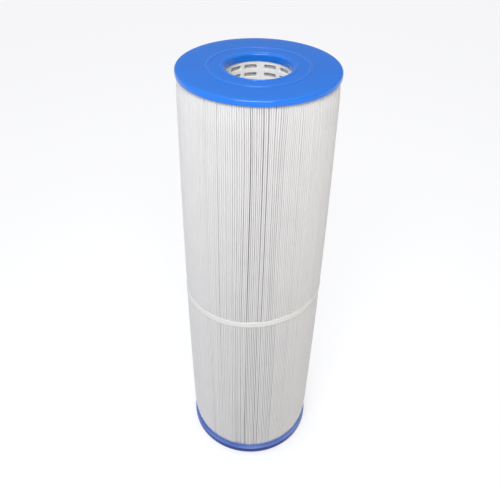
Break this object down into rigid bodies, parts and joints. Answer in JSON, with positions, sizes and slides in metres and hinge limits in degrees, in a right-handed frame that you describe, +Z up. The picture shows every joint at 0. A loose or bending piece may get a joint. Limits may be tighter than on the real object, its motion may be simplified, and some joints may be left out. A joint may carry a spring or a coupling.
{
  "type": "filter cartridge",
  "caption": "Round pleated filter cartridge with two moulded end caps, an open bore through both ends, a slotted core tube and a retaining bead round the pleats.",
  "frame": {"origin": "on the cartridge's axis, in the plane of the bottom end cap's sealing rib, on which it stands", "axes": "+Z up along the cartridge's axis; +Y towards the glued seam of the media"},
  "size_m": [0.129, 0.129, 0.408],
  "materials": {
    "cap_plastic": "satin cast polyurethane, mid blue",
    "media_cloth": "spun-bonded non-woven polyester, off-white",
    "hot_melt": "smooth hot-melt adhesive, cream white",
    "core_plastic": "satin moulded polypropylene, white"
  },
  "bodies": {
    "root": {"top_end_cap": "cap_plastic", "bottom_end_cap": "cap_plastic", "pleated_media": "media_cloth", "media_seam_bead": "hot_melt", "pleat_band": "hot_melt", "core_section_top": "core_plastic", "core_section_middle": "core_plastic", "core_section_bottom": "core_plastic"}
  },
  "joints": []
}
